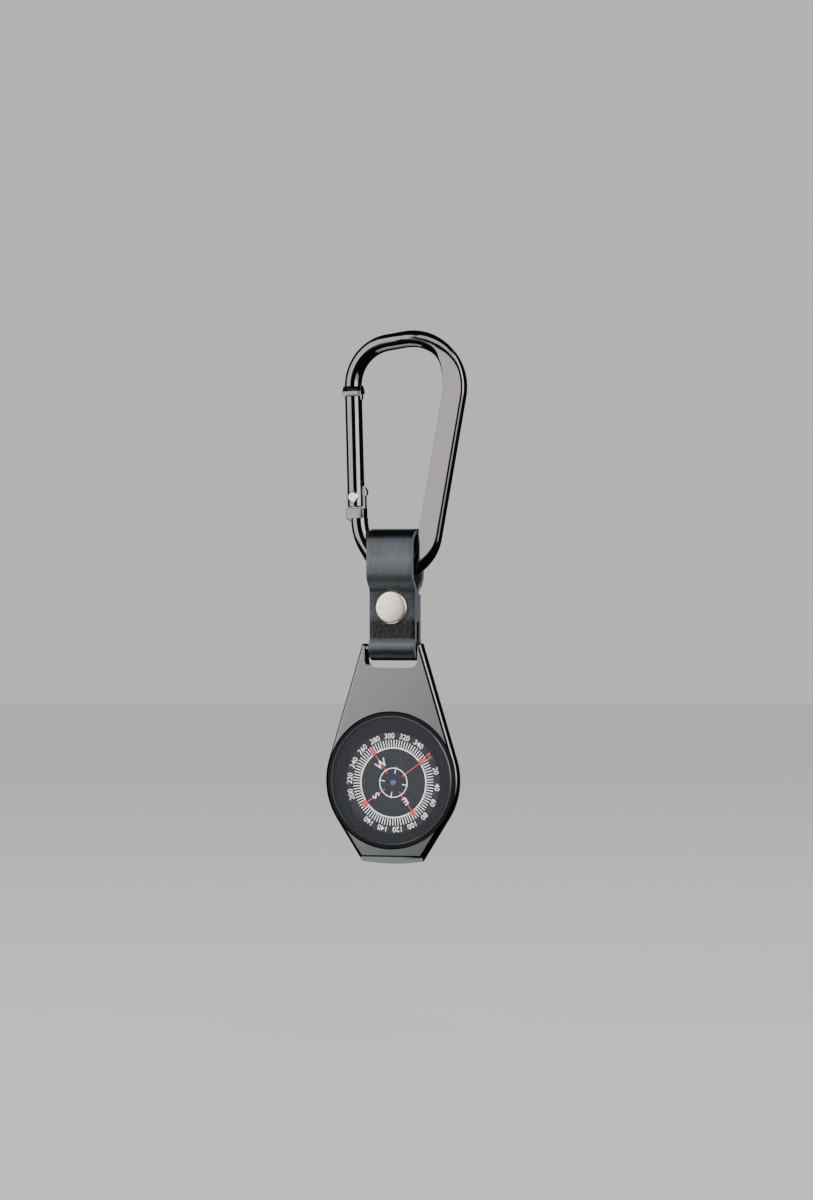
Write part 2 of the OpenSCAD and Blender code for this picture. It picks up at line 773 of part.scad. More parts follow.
module card_magnet() {
    color("#4a4c50")
        at_card()
            rotate([0, north_a, 0])
                difference() {
                    slab(card_back, card_back + magnet_t)
                        union() {
                            translate([-magnet_w / 2, -magnet_l / 2 + magnet_w / 2])
                                square([magnet_w, magnet_l - magnet_w]);
                            for (side = [-1, 1])
                                translate([0, side * (magnet_l - magnet_w) / 2])
                                    circle(d = magnet_w);
                        }
                    disc(hub_d / 2, card_back - over, card_back + magnet_t + over);
                }
}

module jewel_bearing() {
    r = jewel_d / 2;
    back = card_back + hub_l / 2;
    color("#6a6ac0")
        at_card()
            turned([[0, jewel_top], [r / 2, jewel_top + r / 8], [0.87 * r, jewel_top + 0.4 * r],
                [r, jewel_top + 0.8 * r], [r, back], [r - run_gap, back], [0, jewel_cup]]);
}

carabiner_frame();
gate();
gate_rivet();
gate_spring();
gate_plunger();
leather_strap();
rivet_cap();
rivet_post();
compass_body();
capsule_cup();
capsule_window();
window_seal();
capsule_pad();
fill_plug();
pivot_pin();
card_disc();
card_hub();
card_magnet();
jewel_bearing();
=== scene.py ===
from math import acos, atan2, ceil, cos, degrees, hypot, pi, radians, sin, sqrt

import bmesh
import bpy
from mathutils import Matrix, Vector


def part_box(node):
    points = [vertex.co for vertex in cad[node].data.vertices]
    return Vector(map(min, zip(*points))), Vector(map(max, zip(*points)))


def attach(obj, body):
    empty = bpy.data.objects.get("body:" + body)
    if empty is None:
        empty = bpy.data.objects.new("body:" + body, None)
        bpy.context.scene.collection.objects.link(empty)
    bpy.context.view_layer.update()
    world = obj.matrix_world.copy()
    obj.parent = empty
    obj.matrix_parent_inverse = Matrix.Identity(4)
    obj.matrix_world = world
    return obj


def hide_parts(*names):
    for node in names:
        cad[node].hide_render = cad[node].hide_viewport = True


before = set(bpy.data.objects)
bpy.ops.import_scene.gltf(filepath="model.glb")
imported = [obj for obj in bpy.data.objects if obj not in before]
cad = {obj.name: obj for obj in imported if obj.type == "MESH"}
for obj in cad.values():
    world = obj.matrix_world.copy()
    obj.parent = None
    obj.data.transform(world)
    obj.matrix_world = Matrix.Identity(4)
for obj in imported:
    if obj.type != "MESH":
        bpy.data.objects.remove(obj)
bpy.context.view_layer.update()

# Camera
# The photo looks level at the dial from 21 degrees to the right, through a long lens.
# One of its pixels is 0.243 mm. Sizes below are in millimetres, and those of lights in metres.
MM = 0.001
PIXEL = 0.243 * MM
PICTURE_W = 813
TURN = radians(21)
DISTANCE = 1.6
SENSOR_W = 36
FAR = 20
MIDDLE_ACROSS, MIDDLE_Z = -1.41, -61.4
across = Vector((cos(TURN), sin(TURN), 0))
towards = Vector((sin(TURN), -cos(TURN), 0))
middle = across * MIDDLE_ACROSS * MM + Vector((0, 0, MIDDLE_Z * MM))
lens = bpy.data.cameras.new("camera")
lens.sensor_fit = "HORIZONTAL"
lens.sensor_width = SENSOR_W
lens.lens = SENSOR_W * DISTANCE / (PICTURE_W * PIXEL)
lens.clip_end = FAR
camera = bpy.data.objects.new("camera", lens)
bpy.context.scene.collection.objects.link(camera)
camera.location = middle + towards * DISTANCE
camera.rotation_euler = (radians(90), 0, TURN)
bpy.context.scene.camera = camera

# Floor and light
# A pale matte floor and a far round wall, both lit evenly by a little glow of their own. Two
# soft lights stand on the left and above. The glowing cards are what the metal mirrors.


def linear(code):
    """An sRGB hex colour as linear RGBA."""
    parts = [int(code[i:i + 2], 16) / 255 for i in (1, 3, 5)]
    return tuple(c / 12.92 if c <= 0.04045 else ((c + 0.055) / 1.055) ** 2.4 for c in parts) + (1,)


def add(tree, kind, **values):
    """Adds a node. A socket's name, or in0 and so on by number, sets or links that socket, and
    any other name sets a property."""
    node = tree.nodes.new(kind)
    for name, value in values.items():
        key = name.replace("_", " ")
        socket = next((s for s in node.inputs if s.name.lower() == key.lower()), None)
        if name.startswith("in"):
            socket = node.inputs[int(name[2:])]
        if socket is None:
            setattr(node, name, value)
        elif isinstance(value, bpy.types.NodeSocket):
            tree.links.new(value, socket)
        else:
            socket.default_value = value
    return node


def material(name, colour, roughness, metallic=0.0, **more):
    """A Principled material. Returns it with its tree and its shader."""
    made = bpy.data.materials.new(name)
    made.use_nodes = True
    tree = made.node_tree
    shader = tree.nodes["Principled BSDF"]
    shader.inputs["Base Color"].default_value = linear(colour)
    shader.inputs["Roughness"].default_value = roughness
    shader.inputs["Metallic"].default_value = metallic
    for key, value in more.items():
        shader.inputs[key.replace("_", " ")].default_value = value
    made.diffuse_color = linear(colour)
    return made, tree, shader


def plain_mesh(name, points, faces, *looks, unit=MM):
    """A new smooth mesh object from points in millimetres, or in another unit."""
    data = bpy.data.meshes.new(name)
    data.from_pydata([[c * unit for c in p] for p in points], [], faces)
    data.validate()
    piece = bpy.data.objects.new(name, data)
    bpy.context.scene.collection.objects.link(piece)
    for look in looks:
        data.materials.append(look)
    data.polygons.foreach_set("use_smooth", [True] * len(data.polygons))
    return piece


# Matte paint on a studio floor and wall: pale grey, with no highlight and hardly a shadow
floor_look, _, _ = material("floor_pale", "#75746f", 1.0, Emission_Color=linear("#dfdeda"),
                            Emission_Strength=0.72, Specular_IOR_Level=0.0)
wall_look, _, _ = material("wall_pale", "#000000", 1.0, Emission_Color=linear("#dddcd8"),
                           Emission_Strength=0.86, Specular_IOR_Level=0.0)
FLOOR_Z, WALL_R, SIDES = -165, 5000, 64
turns = [2 * pi * k / SIDES for k in range(SIDES)]
foot = [(WALL_R * cos(a), WALL_R * sin(a), FLOOR_Z) for a in turns]
floor = plain_mesh("floor", foot, [tuple(range(SIDES))], floor_look)
wall = plain_mesh("wall", foot + [(x, y, WALL_R) for x, y, z in foot],
                  [(k, k + SIDES, (k + 1) % SIDES + SIDES, (k + 1) % SIDES) for k in range(SIDES)],
                  wall_look)
floor.visible_glossy = wall.visible_glossy = False
wall.visible_diffuse = wall.visible_shadow = False

LIT_POINT = (0, 0, -0.06)


def soft_light(name, place, size, power):
    """A white rectangular light at place, facing the object, all in metres."""
    data = bpy.data.lights.new(name, "AREA")
    data.shape = "RECTANGLE"
    data.size, data.size_y = size
    data.energy = power
    lamp = bpy.data.objects.new(name, data)
    bpy.context.scene.collection.objects.link(lamp)
    lamp.location = place
    lamp.rotation_euler = (Vector(LIT_POINT) - Vector(place)).to_track_quat("-Z", "Y").to_euler()
    lamp.visible_glossy = False


def upright(azimuth, reach, width, low, high):
    """Corners in metres of an upright card that faces the object."""
    out = Vector((sin(radians(azimuth)), -cos(radians(azimuth)), 0)) * reach
    side = Vector((cos(radians(azimuth)), sin(radians(azimuth)), 0)) * width / 2
    return [tuple(out + side * s + Vector((0, 0, z))) for s, z in
            ((-1, low), (1, low), (1, high), (-1, high))]


def lying(left, right, front, back, height):
    """Corners in metres of a card that lies level."""
    return [(left, front, height), (right, front, height), (right, back, height),
            (left, back, height)]


def glow_card(name, corners, colour, power, diffuse=True, slope=(0, 0, 1), start=-1, full=0, least=1):
    """A glowing card. Along the slope its glow grows from least at start to all of it at full."""
    look = bpy.data.materials.new(name)
    look.use_nodes = True
    tree = look.node_tree
    tree.nodes.clear()
    place = add(tree, "ShaderNodeTexCoord").outputs["Object"]
    along = add(tree, "ShaderNodeVectorMath", operation="DOT_PRODUCT", in0=place, in1=slope)
    level = add(tree, "ShaderNodeMapRange", Value=along.outputs["Value"], From_Min=start,
                From_Max=full, To_Min=least * power, To_Max=power)
    glow = add(tree, "ShaderNodeEmission", Color=linear(colour), Strength=level.outputs[0])
    add(tree, "ShaderNodeOutputMaterial", Surface=glow.outputs[0])
    card = plain_mesh(name, corners, [(0, 1, 2, 3)], look, unit=1)
    card.visible_camera = card.visible_shadow = False
    card.visible_diffuse = diffuse


soft_light("key_left", place=(-1.0, -1.3, 0.9), size=(0.9, 0.9), power=17)
soft_light("top", place=(0.2, 0.2, 1.4), size=(1.6, 1.2), power=22)
glow_card("card_left", upright(azimuth=-47, reach=0.7, width=0.86, low=-0.2, high=0.75),
          "#f4efea", power=2.2, slope=(-0.656, 0.704, 1.0), start=-0.481, full=-0.415, least=0.22)
glow_card("card_right", upright(azimuth=58, reach=0.8, width=0.62, low=-0.3, high=0.95),
          "#f5f8ff", power=3.5, start=-0.2, full=-0.05, least=0.3)
glow_card("card_low", lying(left=-0.3, right=0.05, front=-0.2, back=0.1, height=-0.45),
          "#e3ead6", power=1.5)
glow_card("card_top", upright(azimuth=7, reach=0.7, width=0.5, low=0.36, high=0.88),
          "#f4efea", power=2.0, diffuse=False)
glow_card("card_back", upright(azimuth=195, reach=0.9, width=0.62, low=-0.4, high=0.7),
          "#f2f0ee", power=0.8, diffuse=False)
world = bpy.data.worlds.new("studio")
bpy.context.scene.world = world
world.use_nodes = True
world.node_tree.nodes["Background"].inputs["Color"].default_value = linear("#5a5a5c")
world.node_tree.nodes["Background"].inputs["Strength"].default_value = 0.14

# Carabiner frame
# A round steel rod, bent round five circles, pressed flat along its spine and at both ends, and
# plated. The press cuts the spine's faces, so they end in points on the round rod.

# Black nickel plate on polished steel: a dark mirror, with a faint haze in clouds of about 8 mm
CLOUD = MM / 0.12
nickel, tree, shader = material("black_nickel", "#89868a", 0.1, 1.0)
place = add(tree, "ShaderNodeTexCoord").outputs["Object"]
haze = add(tree, "ShaderNodeTexNoise", Vector=place, Scale=1 / CLOUD, Detail=2.0)
rough = add(tree, "ShaderNodeMapRange", Value=haze.outputs["Fac"], To_Min=0.07, To_Max=0.13)
tree.links.new(rough.outputs[0], shader.inputs["Roughness"])

ROD_R = 2.1
# Each bend of the rod's middle line, from the nose round to the block: its centre and radius
BENDS = [(-4.7, -9.3, 10.7), (0.0, -9.8, 11.9), (-4.4, -44.75, 9.9), (-4.4, -49.0, 5.9),
         (-0.35, -41.4, 13.4)]
NOSE_ANGLE, BLOCK_ANGLE = 180.0, -180.0
# Places along the rod: a bend's number in that list, or half more for the run after it
SHOULDER, SPINE, LOWER_BEND = 1, 1.5, 2
# The pressed spine: half its thickness, its reach inwards, and its outer and inner roundings
FLAT_HALF, FLAT_REACH, OUTER_ROUND, INNER_ROUND = 1.45, 3.5, 0.85, 0.2
# The outer rounding where the rod is pressed but its edge isn't sharp yet
SOFT_ROUND = 2.7
# Angles over which the shoulder and the lower bend turn from round to pressed
SHOULDER_PRESS, SHOULDER_EDGE, SHOULDER_WIDEN = (120, 35), (70, 12), (60, 6)
LOWER_PRESS, LOWER_EDGE, LOWER_WIDEN = (-86, -60), (-64, -2), (-60, -12)
# Degrees between stations in a bend, millimetres along a run, and steps across a pressed face
BEND_STEP, RUN_STEP, FACE_STEPS = 2.5, 1.2, 12


def rod_stations():
    """Each station's centre, outward direction, place and angle, from the nose to the block."""
    turns = [NOSE_ANGLE]
    for (xa, za, ra), (xb, zb, rb) in zip(BENDS, BENDS[1:]):
        gap = hypot(xb - xa, zb - za)
        a = degrees(atan2(zb - za, xb - xa) + acos((ra - rb) / gap))
        while a > turns[-1]:
            a -= 360
        turns.append(a)
    turns.append(BLOCK_ANGLE)
    out = []
    for i, (x, z, r) in enumerate(BENDS):
        steps = max(2, ceil((turns[i] - turns[i + 1]) / BEND_STEP))
        for k in range(steps + 1):
            a = radians(turns[i] + (turns[i + 1] - turns[i]) * k / steps)
            out.append((x + r * cos(a), z + r * sin(a), cos(a), sin(a), i, degrees(a)))
        if i + 1 < len(BENDS):
            a = radians(turns[i + 1])
            x2, z2, r2 = BENDS[i + 1]
            start = Vector((x + r * cos(a), z + r * sin(a)))
            end = Vector((x2 + r2 * cos(a), z2 + r2 * sin(a)))
            steps = ceil((end - start).length / RUN_STEP)
            for k in range(1, steps):
                p = start.lerp(end, k / steps)
                out.append((p.x, p.y, cos(a), sin(a), i + 0.5, degrees(a)))
    return out


def smooth_step(a, b, v):
    """A soft step from 0 at a to 1 at b."""
    t = min(1, max(0, (v - a) / (b - a)))
    return t * t * (3 - 2 * t)


def rod_section(thick, outer, outer_drop, widen):
    """Outline of the rod, outwards first: half thickness, width and drop of the outer
    rounding, and how far the inner side is pressed out of the round."""
    inner = ROD_R + (INNER_ROUND - ROD_R) * widen
    inner_drop = thick + (INNER_ROUND - thick) * widen
    reach = ROD_R + (FLAT_REACH - ROD_R) * widen
    side = [(ROD_R, (thick - outer_drop) * k / 2) for k in (0, 1)]
    side += [(ROD_R - outer + outer * cos(radians(a)),
              thick - outer_drop + outer_drop * sin(radians(a))) for a in range(0, 91, 10)]
    first, last = ROD_R - outer, inner - reach
    side += [(first + (last - first) * k / FACE_STEPS, thick) for k in range(1, FACE_STEPS)]
    side += [(last - inner * sin(radians(a)), thick - inner_drop + inner_drop * cos(radians(a)))
             for a in range(0, 91, 10)]
    side += [(-reach, (thick - inner_drop) * k / 2) for k in (1, 0)]
    return side + [(a, -b) for a, b in reversed(side[1:-1])]


rings = []
for x, z, nx, nz, part, angle in rod_stations():
    press = edge = widen = 0
    if part == SHOULDER:
        press = smooth_step(*SHOULDER_PRESS, angle)
        edge = smooth_step(*SHOULDER_EDGE, angle)
        widen = smooth_step(*SHOULDER_WIDEN, angle)
    elif part == SPINE:
        press = edge = widen = 1
    elif part == LOWER_BEND:
        press = smooth_step(*LOWER_PRESS, angle)
        edge = smooth_step(*LOWER_EDGE, angle)
        widen = smooth_step(*LOWER_WIDEN, angle)
    thick = ROD_R + (FLAT_HALF - ROD_R) * press
    outer = ROD_R + (SOFT_ROUND - ROD_R) * press + (OUTER_ROUND - SOFT_ROUND) * edge
    drop = thick + (OUTER_ROUND - thick) * edge
    rings.append([(x + nx * a, -b, z + nz * a) for a, b in rod_section(thick, outer, drop, widen)])


def loft(name, rings, *looks, closed=False):
    """Joins rings of points with quads, and caps the ends unless the last ring meets the first."""
    n = len(rings[0])
    points = [p for ring in rings for p in ring]
    faces = []
    for i in range(len(rings) if closed else len(rings) - 1):
        here, there = i * n, (i + 1) % len(rings) * n
        faces += [(here + k, here + (k + 1) % n, there + (k + 1) % n, there + k) for k in range(n)]
    if not closed:
        faces += [list(range(n))[::-1], [(len(rings) - 1) * n + k for k in range(n)]]
    return plain_mesh(name, points, faces, *looks)


def crisp(piece, angle=35):
    """Smooth shading with sharp edges past the angle, and normals that point outwards."""
    work = bmesh.new()
    work.from_mesh(piece.data)
    bmesh.ops.recalc_face_normals(work, faces=work.faces)
    work.to_mesh(piece.data)
    work.free()
    piece.data.set_sharp_from_angle(angle=radians(angle))
    return piece


rod = crisp(loft("carabiner_rod", rings, nickel), angle=34)

# The line on which the hinge block, the gate and the nose stand, as places across and up
GATE_FOOT, GATE_HEAD = (-14.5, -41.4), (-15.4, -9.3)
gate_length = hypot(GATE_HEAD[0] - GATE_FOOT[0], GATE_HEAD[1] - GATE_FOOT[1])
lean = atan2(GATE_HEAD[0] - GATE_FOOT[0], GATE_HEAD[1] - GATE_FOOT[1])
gate_line = (Matrix.Translation(Vector((GATE_FOOT[0], 0, GATE_FOOT[1])) * MM)
             @ Matrix.Rotation(lean, 4, "Y"))

# Height above the end's foot, half thickness and half width of each level of the pressed ends
BLOCK_LEVELS = [(-0.8, 1.0, 1.7), (-0.15, 1.5, 2.35), (0.0, 1.5, 2.4), (2.2, 1.5, 2.4),
                (2.3, 1.42, 2.32)]
NOSE_LEVELS = [(0, 1.52, 2.42), (0.08, 1.6, 2.5), (0.85, 1.6, 2.5), (0.93, 1.54, 2.5),
               (2.2, 0.85, 2.4)]
# How far the nose's foot lies below the head of the gate's line
NOSE_L = 2.1
# The rounding of the ends' corners, and the degrees between its points
END_ROUND, END_STEP = 0.45, 15


def pressed_end(name, foot, levels):
    """A flattened rod end, from its foot up the gate's line."""
    rings = []
    for h, thick, wide in levels:
        soft = min(END_ROUND, thick / 2)
        rings.append([(sx * (wide - soft) + soft * cos(radians(start + turn)),
                       sy * (thick - soft) + soft * sin(radians(start + turn)), foot + h)
                      for sx, sy, start in ((1, -1, -90), (1, 1, 0), (-1, 1, 90), (-1, -1, 180))
                      for turn in range(0, 91, END_STEP)])
    piece = crisp(loft(name, rings, nickel), angle=20)
    piece.data.transform(gate_line)
    return piece


block = pressed_end("hinge_block", 0, BLOCK_LEVELS)
nose = pressed_end("nose_end", gate_length - NOSE_L, NOSE_LEVELS)

# Half the thickness of the two tongues that reach into the gate's slots
TONGUE_HALF = 0.6
# The hinge tongue's outline, across and up the gate's line, with its rounded toe on the inside
HINGE_OUTLINE = [(-2.3, 2.2), (-2.3, 7.2), (-1.6, 7.9), (1.5, 7.9), (2.0, 7.8), (2.4, 7.5),
                 (2.7, 7.05), (2.92, 6.5), (3.02, 6.0), (2.98, 5.65), (2.8, 5.42), (2.5, 5.3),
                 (2.5, 2.2)]
# The nose tongue: half its width, and how far its foot and its top lie below the line's head
NOSE_TONGUE_HALF_W, NOSE_TONGUE_FOOT, NOSE_TONGUE_TOP = 2.35, 3.3, 2


def tongue(name, outline):
    """A thin tongue in the gate's slot, from an outline across and up the gate's line."""
    n = len(outline)
    points = [(x, y, z) for y in (-TONGUE_HALF, TONGUE_HALF) for x, z in outline]
    faces = [tuple(range(n)), tuple(range(2 * n - 1, n - 1, -1))]
    faces += [(k, k + n, (k + 1) % n + n, (k + 1) % n) for k in range(n)]
    piece = crisp(plain_mesh(name, points, faces, nickel), angle=30)
    piece.data.transform(gate_line)
    return piece


hinge_tongue = tongue("hinge_tongue", HINGE_OUTLINE)
nose_tongue = tongue("nose_tongue", [(-NOSE_TONGUE_HALF_W, gate_length - NOSE_TONGUE_FOOT),
                                     (-NOSE_TONGUE_HALF_W, gate_length - NOSE_TONGUE_TOP),
                                     (NOSE_TONGUE_HALF_W, gate_length - NOSE_TONGUE_TOP),
                                     (NOSE_TONGUE_HALF_W, gate_length - NOSE_TONGUE_FOOT)])
for piece in (rod, block, nose, hinge_tongue, nose_tongue):
    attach(piece, "carabiner")
    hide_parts("carabiner_frame")

# Gate
# A straight bar of the same plated rod, slotted at both ends, drilled for a spring and a plunger,
# and riveted to the hinge tongue. These are the CAD solids, so they only get their materials.

# Polished bare steel: the rivet's head is a small, nearly white point on the dark rod
rivet_look, _, _ = material("bright_rivet", "#e6e6e8", 0.12, 1.0)
# Drawn spring steel: greyer and duller than the rivet, and only seen when the gate is open
spring_look, _, _ = material("spring_steel", "#b9b9bc", 0.3, 1.0)


def dress(node, look):
    """Gives a CAD node its material."""
    cad[node].data.materials.clear()
    cad[node].data.materials.append(look)


dress("gate", nickel)
dress("gate_rivet", rivet_look)
dress("gate_spring", spring_look)
dress("gate_plunger", spring_look)

# Leather strap
# One strip, laid round the rod and the body's bar, with its front in one run and its two ends
# lapped behind. It is cut from dyed leather, so its cut edges are paler than its grain side.

# Dyed full-grain leather with a waxed finish: nearly black, with a soft sheen broken by pores
# and creases. Real pores are finer and wouldn't show, so they are drawn 0.9 mm apart, with
# creases 2.4 mm and patches of colour 6 mm across.
PORE_GAP, CREASE, PATCH = MM / 1.1, MM / 0.42, MM / 0.16
GRAIN_DEPTH = 0.15 * MM
leather, tree, shader = material("dark_leather", "#0d0e10", 0.3, Specular_IOR_Level=0.5,
                                 Specular_Tint=linear("#e6ecf5"))
place = add(tree, "ShaderNodeTexCoord").outputs["Object"]
pores = add(tree, "ShaderNodeTexVoronoi", Vector=place, Scale=1 / PORE_GAP)
creases = add(tree, "ShaderNodeTexNoise", Vector=place, Scale=1 / CREASE, Detail=6.0, Roughness=0.62)
height = add(tree, "ShaderNodeMix", data_type="FLOAT", in0=0.6, in2=pores.outputs["Distance"],
             in3=creases.outputs["Fac"])
bump = add(tree, "ShaderNodeBump", Strength=0.8, Distance=GRAIN_DEPTH, Height=height.outputs[0])
tree.links.new(bump.outputs[0], shader.inputs["Normal"])
tint = add(tree, "ShaderNodeTexNoise", Vector=place, Scale=1 / PATCH, Detail=4.0)
# The base colour is painted lighter and darker in bands up the strip. There is painted sheen on the
# front below the fold and on the roll over the bar, and painted shade at the top of the fold, below
# the rivet and under the bar. The heights are those of the object.
SHEEN_LOW, SHEEN_HIGH = -80, -44
PAINTED_SHEEN = [(-76.0, "#08090a"), (-73.8, "#2c2f32"), (-72.0, "#686c72"), (-70.6, "#08090a"),
        (-67.0, "#060708"), (-65.0, "#4a4d52"), (-60.0, "#303337"), (-56.0, "#404348"),
        (-51.5, "#686c73"), (-48.0, "#565a60"), (-45.8, "#07080a")]
level = add(tree, "ShaderNodeSeparateXYZ", Vector=place).outputs["Z"]
along = add(tree, "ShaderNodeMapRange", Value=level, From_Min=SHEEN_LOW * MM, From_Max=SHEEN_HIGH * MM)
sheen_ramp = add(tree, "ShaderNodeValToRGB", Fac=along.outputs[0])
while len(sheen_ramp.color_ramp.elements) < len(PAINTED_SHEEN):
    sheen_ramp.color_ramp.elements.new(0.5)
for stop, (z, code) in zip(sheen_ramp.color_ramp.elements, PAINTED_SHEEN):
    stop.position = (z - SHEEN_LOW) / (SHEEN_HIGH - SHEEN_LOW)
    stop.color = linear(code)
shade = add(tree, "ShaderNodeMix", data_type="RGBA", blend_type="MULTIPLY", in0=0.5,
            in6=sheen_ramp.outputs[0], in7=tint.outputs["Fac"])
tree.links.new(shade.outputs[2], shader.inputs["Base Color"])

# The strip's cut edge: bare fibres, matte and mottled grey, drawn 0.7 mm across so that they show
FIBRE = MM / 1.5
FIBRE_DEPTH = 0.08 * MM
cut_edge, tree, shader = material("leather_edge", "#3b3d42", 0.7)
place = add(tree, "ShaderNodeTexCoord").outputs["Object"]
fibre = add(tree, "ShaderNodeTexNoise", Vector=place, Scale=1 / FIBRE, Detail=5.0)
bump = add(tree, "ShaderNodeBump", Strength=0.6, Distance=FIBRE_DEPTH, Height=fibre.outputs["Fac"])
tree.links.new(bump.outputs[0], shader.inputs["Normal"])
shade = add(tree, "ShaderNodeMix", data_type="RGBA", in0=fibre.outputs["Fac"], in6=linear("#3c4044"),
            in7=linear("#787b7e"))
tree.links.new(shade.outputs[2], shader.inputs["Base Color"])

STRAP_W, STRAP_T, STRAP_X = 12.03, 1.3, -4.47
# Heights of the fold over the rod, of where the loop starts to close, of the rivet and of the bar
FOLD_Z, TOE_Z, RIVET_Z, BAR_Z = -48.25, -54.9, -63.25, -73.25
# Radii of the strip's middle line over the rod, round the bar and where it bends into the lap,
# and the step from one layer to the next
UP_R, LOW_R, PINCH_R, PITCH = 3.55, 2.25, 2.6, 1.35
# How far the two ends run past the rivet
INNER_LAP, OUTER_LAP = 3.5, 3.25


def arc(y, z, r, a, b):
    """Points of an arc about (y, z) from a to b degrees, at most 6 degrees apart."""
    n = ceil(abs(b - a) / 6)
    return [(y + r * cos(radians(a + (b - a) * k / n)), z + r * sin(radians(a + (b - a) * k / n)))
            for k in range(n + 1)]


front_a = degrees(acos((PITCH + PINCH_R) / (UP_R + PINCH_R)))
back_a = degrees(acos(PINCH_R / (UP_R + PINCH_R)))
low_a = degrees(acos((PITCH + PINCH_R) / (LOW_R + PINCH_R)))
low_pinch_z = BAR_Z + (LOW_R + PINCH_R) * sin(radians(low_a))
run = [(0, RIVET_Z - INNER_LAP)]
run += arc(PINCH_R, TOE_Z - (UP_R + PINCH_R) * sin(radians(back_a)), PINCH_R, 180, 180 - back_a)
run += arc(0, TOE_Z, UP_R, -back_a, 0)
run += arc(0, FOLD_Z, UP_R, 0, 180)
run += arc(0, TOE_Z, UP_R, 180, 180 + front_a)
run += arc(-PITCH - PINCH_R, TOE_Z - (UP_R + PINCH_R) * sin(radians(front_a)), PINCH_R, front_a, 0)
run += arc(-PITCH - PINCH_R, low_pinch_z, PINCH_R, 0, -low_a)
run += arc(0, BAR_Z, LOW_R, 180 - low_a, 360 + low_a)
run += arc(PITCH + PINCH_R, low_pinch_z, PINCH_R, 180 + low_a, 180)
run += [(PITCH, RIVET_Z + OUTER_LAP)]
run = [Vector(p) for p in run]

# The run again, with double points left out and long stretches divided
SAME_POINT, STRETCH = 0.02, 0.8
path = [run[0]]
for p in run[1:]:
    gap = (p - path[-1]).length
    if gap < SAME_POINT:
        continue
    parts = ceil(gap / STRETCH)
    for k in range(1, parts):
        path.append(path[-1] + (p - path[-1]) / (parts - k + 1))
    path.append(p)

# The strip's section, a hair narrower than the CAD strip and rounded at its cut edges
NARROWER, CUT_ROUND, HALF_STEPS = 0.03, 0.22, 6
flat_w, flat_t = STRAP_W / 2 - NARROWER - CUT_ROUND, STRAP_T / 2 - CUT_ROUND
section = []
for sx, sy, start in ((1, 1, 0), (-1, 1, 90), (-1, -1, 180), (1, -1, 270)):
    section += [(sx * flat_w + CUT_ROUND * cos(radians(start + turn)),
                 sy * flat_t + CUT_ROUND * sin(radians(start + turn))) for turn in range(0, 91, 30)]
    if sx * sy == 1:
        section += [(sx * flat_w * (1 - k / HALF_STEPS), sy * STRAP_T / 2)
                    for k in range(1, 2 * HALF_STEPS)]
rings = []
for k, p in enumerate(path):
    ahead = (path[min(k + 1, len(path) - 1)] - path[max(k - 1, 0)]).normalized()
    side = Vector((-ahead.y, ahead.x))
    rings.append([(STRAP_X + a, p.x + side.x * b, p.y + side.y * b) for a, b in section])
strap = crisp(loft("leather_strip", rings, leather, cut_edge), angle=50)
# Faces that look this much sideways, and the caps at the two ends, are cut edges
SIDEWAYS, CAPS = 0.8, 2
strap.data.polygons.foreach_set("material_index", [
    1 if abs(f.normal.x) > SIDEWAYS or f.index >= len(strap.data.polygons) - CAPS else 0
    for f in strap.data.polygons])
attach(strap, "strap")
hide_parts("leather_strap")

# Strap rivet
# A pressed metal cap with a low dome and a rolled rim, closed on a post that goes through the
# three layers of leather and ends in a flat head behind.

# Nickel plate, tumbled after pressing: pale and slightly warm, with a haze of scuffs of 1.4 mm
# that softens what it mirrors
SCUFF = MM / 0.7
warm, tree, shader = material("warm_silver", "#fff5e9", 0.25, 0.9)
place = add(tree, "ShaderNodeTexCoord").outputs["Object"]
scuff = add(tree, "ShaderNodeTexNoise", Vector=place, Scale=1 / SCUFF, Detail=6.0)
rough = add(tree, "ShaderNodeMapRange", Value=scuff.outputs["Fac"], To_Min=0.16, To_Max=0.32)
tree.links.new(rough.outputs[0], shader.inputs["Roughness"])


def turned(name, outline, centre, look, steps=96, angle=30):
    """A round piece about a line along Y through centre (x, z), from (radius, y) points."""
    rings = []
    for k in range(steps):
        a = 2 * pi * k / steps
        rings.append([(centre[0] + r * cos(a), y, centre[1] + r * sin(a)) for r, y in outline])
    points = [p for ring in rings for p in ring]
    n = len(outline)
    faces = []
    for i in range(steps):
        j = (i + 1) % steps
        faces += [(i * n + k, i * n + k + 1, j * n + k + 1, j * n + k) for k in range(n - 1)]
    piece = plain_mesh(name, points, faces, look)
    work = bmesh.new()
    work.from_mesh(piece.data)
    bmesh.ops.remove_doubles(work, verts=work.verts, dist=1e-7)
    bmesh.ops.holes_fill(work, edges=[e for e in work.edges if e.is_boundary], sides=steps + 2)
    work.to_mesh(piece.data)
    work.free()
    return crisp(piece, angle)


LEATHER_FRONT = 2.0
# The dome from its middle to where its rim starts to roll, as radius and height on the leather
DOME = [(0.0, 1.2), (1.0, 1.19), (2.0, 1.17), (3.0, 1.12), (3.5, 1.09)]
# The rolled rim: how far out and how high its middle is, and its own radius
RIM_AT, RIM_H, RIM_R = 3.5, 0.54, 0.55
dome = DOME + [(RIM_AT + RIM_R * sin(radians(a)), RIM_H + RIM_R * cos(radians(a)))
               for a in range(15, 91, 15)]
dome += [(RIM_AT + RIM_R, 0.0), (0.0, 0.0)]
cap = turned("rivet_dome", [(r, -LEATHER_FRONT - h) for r, h in dome], (STRAP_X, RIVET_Z), warm,
             angle=40)
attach(cap, "strap")
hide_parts("rivet_cap")
dress("rivet_post", warm)

# Compass body
# A cast metal plate round the dial, narrowing to two arms and a bar, with a turned housing
# behind. Its edges are rounded over, and its foot is cut off at a slant.

